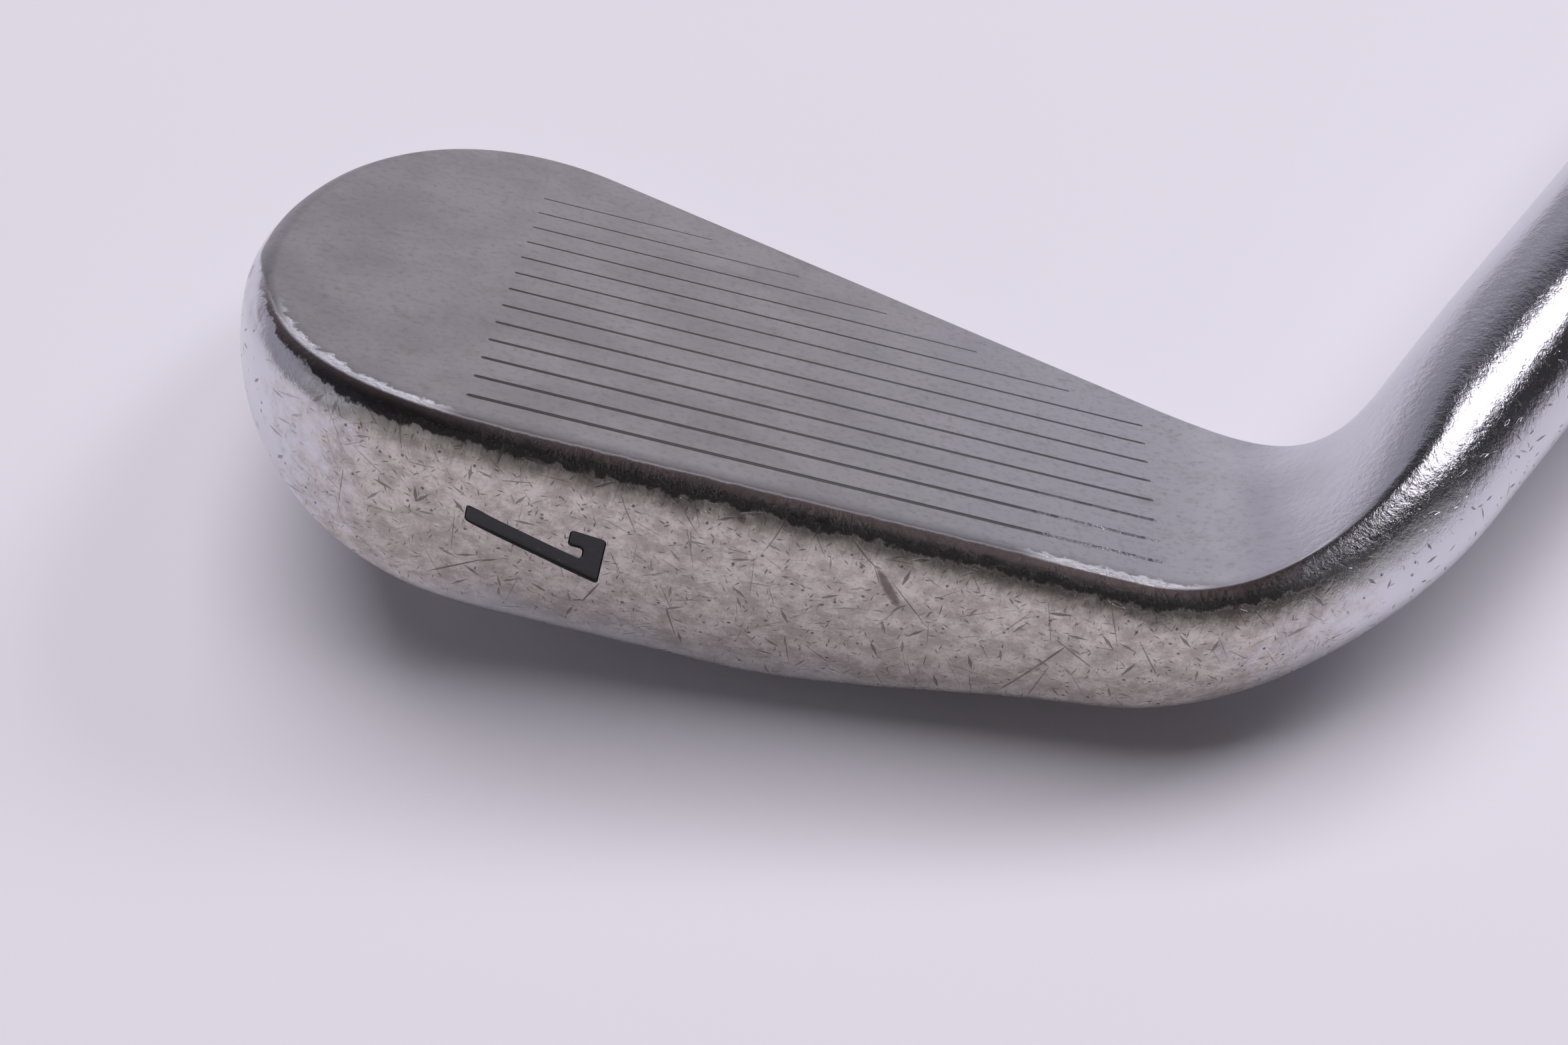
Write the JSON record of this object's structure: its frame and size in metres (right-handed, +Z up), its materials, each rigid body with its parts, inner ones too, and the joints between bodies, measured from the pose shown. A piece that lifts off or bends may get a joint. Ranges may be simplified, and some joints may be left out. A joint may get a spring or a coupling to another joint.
{
  "type": "iron golf club",
  "caption": "Right-handed mid iron with a forged blade head, scored face, hosel, stepped steel shaft and tapered rubber grip, lying face up.",
  "frame": {"origin": "on the table, under the middle of the club's box", "axes": "+X along the shaft from the head to the butt, +Y towards the toe's side, +Z up, away from the table"},
  "size_m": [0.974, 0.1036, 0.0311],
  "materials": {
    "chrome": "worn chrome plate on forged steel, satin face, polished sole with nicks and scratches",
    "number_paint": "black paint fill in the stamped number",
    "ferrule": "polished black plastic",
    "ferrule_ring": "bright trim ring",
    "epoxy": "cured epoxy",
    "brass": "turned brass",
    "shaft": "bright chrome on stepped steel tube",
    "shaft_band": "plain dark film band under clear coat",
    "grip_tape": "double-sided paper tape",
    "grip": "black moulded rubber with a fine tread"
  },
  "bodies": {
    "root": {"clubhead": "chrome", "sole_number_paint": "number_paint", "ferrule": "ferrule", "ferrule_ring": "ferrule_ring", "epoxy_bond": "epoxy", "tip_weight": "brass", "shaft": "shaft", "shaft_band": "shaft_band", "grip_tape": "grip_tape", "grip": "grip", "grip_cap": "grip"}
  },
  "joints": []
}
